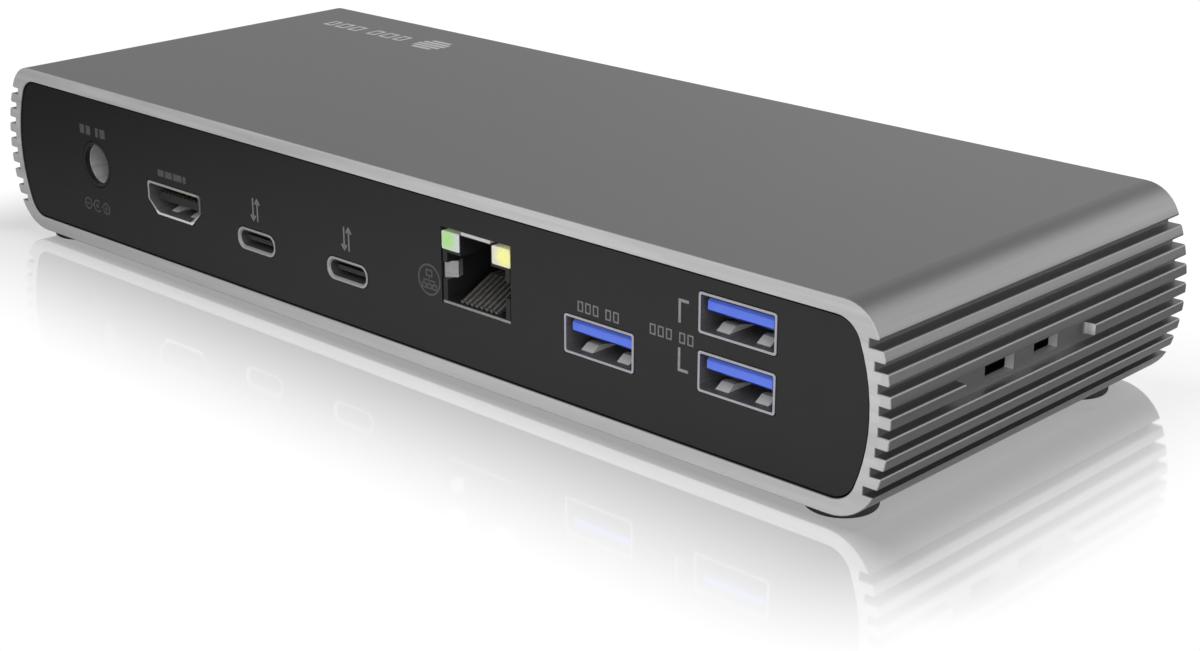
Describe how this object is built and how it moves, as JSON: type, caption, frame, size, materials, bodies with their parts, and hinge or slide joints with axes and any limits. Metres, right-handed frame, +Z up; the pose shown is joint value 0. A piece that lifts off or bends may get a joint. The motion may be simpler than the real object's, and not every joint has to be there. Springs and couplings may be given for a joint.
{
  "type": "laptop docking station",
  "caption": "Desktop laptop dock in a finned aluminium tube with black end panels, a row of rear data, video, network and power sockets, a lock-slot pocket and a sprung power button.",
  "frame": {"origin": "under the centre of the case, on the surface that its feet stand on", "axes": "+X along the length, to the right when looking at the rear socket panel; -Y out of the rear socket panel; +Y out of the front panel; +Z up"},
  "size_m": [0.195, 0.072, 0.0304],
  "materials": {
    "anodised_shell": "fine bead-blasted grey anodising, bare cut ends",
    "panel_plastic": "fine satin black",
    "bonding_tape": "black foam adhesive tape",
    "bracket_steel": "zinc plated",
    "cup_steel": "black oxide",
    "screw_steel": "plated steel",
    "foot_rubber": "matt black rubber",
    "board_laminate": "green solder resist",
    "connector_black": "moulded black plastic",
    "connector_shell": "nickel plated, satin",
    "contact_gold": "gold flashed",
    "tongue_blue": "moulded blue plastic",
    "light_green": "translucent, lit green",
    "light_yellow": "translucent, lit yellow",
    "light_clear": "clear moulded plastic",
    "button_plastic": "satin dark grey",
    "switch_plastic": "black moulded plastic",
    "chip_resin": "matt black resin",
    "capacitor_can": "drawn can",
    "spreader_aluminium": "as extruded",
    "thermal_pad": "soft grey silicone"
  },
  "bodies": {
    "case": {"audio_jack_housing": "connector_black", "audio_jack_ring": "connector_shell", "bracket_screws": "screw_steel", "button_guide": "switch_plastic", "capacitors": "capacitor_can", "card_slot_contacts": "contact_gold", "card_slot_cover": "connector_shell", "card_slot_housing": "connector_black", "controller_chip": "chip_resin", "dc_jack_housing": "connector_black", "dc_jack_pin": "contact_gold", "dc_jack_sleeve": "connector_shell", "enclosure_extrusion": "anodised_shell", "ethernet_chip": "chip_resin", "ethernet_contacts": "contact_gold", "ethernet_housing": "connector_black", "ethernet_light_green": "light_green", "ethernet_light_yellow": "light_yellow", "ethernet_shield": "connector_shell", "foot_front_left": "foot_rubber", "foot_front_right": "foot_rubber", "foot_rear_left": "foot_rubber", "foot_rear_right": "foot_rubber", "front_bracket": "bracket_steel", "front_panel": "panel_plastic", "front_panel_tape": "bonding_tape", "hdmi_contacts": "contact_gold", "hdmi_shell": "connector_shell", "hdmi_tongue": "connector_black", "heat_spreader": "spreader_aluminium", "heat_spreader_screws": "screw_steel", "lock_slot_cup": "cup_steel", "main_board": "board_laminate", "power_inductors": "chip_resin", "rear_bracket": "bracket_steel", "rear_panel": "panel_plastic", "rear_panel_tape": "bonding_tape", "status_led": "light_clear", "status_light_pipe": "light_clear", "tact_switch_body": "switch_plastic", "thermal_pad_case": "thermal_pad", "thermal_pad_controller": "thermal_pad", "usb_a_lower_shell": "connector_shell", "usb_a_lower_tongue": "tongue_blue", "usb_a_single_contacts": "contact_gold", "usb_a_single_shell": "connector_shell", "usb_a_single_tongue": "tongue_blue", "usb_a_stack_carrier": "connector_black", "usb_a_stack_contacts": "contact_gold", "usb_a_upper_shell": "connector_shell", "usb_a_upper_tongue": "tongue_blue", "usb_c_host_shell": "connector_shell", "usb_c_host_tongue": "connector_black", "usb_c_rear_left_shell": "connector_shell", "usb_c_rear_left_tongue": "connector_black", "usb_c_rear_right_shell": "connector_shell", "usb_c_rear_right_tongue": "connector_black", "usb_hub_chip": "chip_resin"},
    "button": {"power_button": "button_plastic", "tact_switch_plunger": "switch_plastic"}
  },
  "joints": [
    {"name": "power_button_press", "type": "slide", "parent": "case", "child": "button", "axis": [0, -1, 0], "range_m": [0, 0.0004], "stiffness_N_per_m": 800, "springref_m": -0.0004}
  ]
}
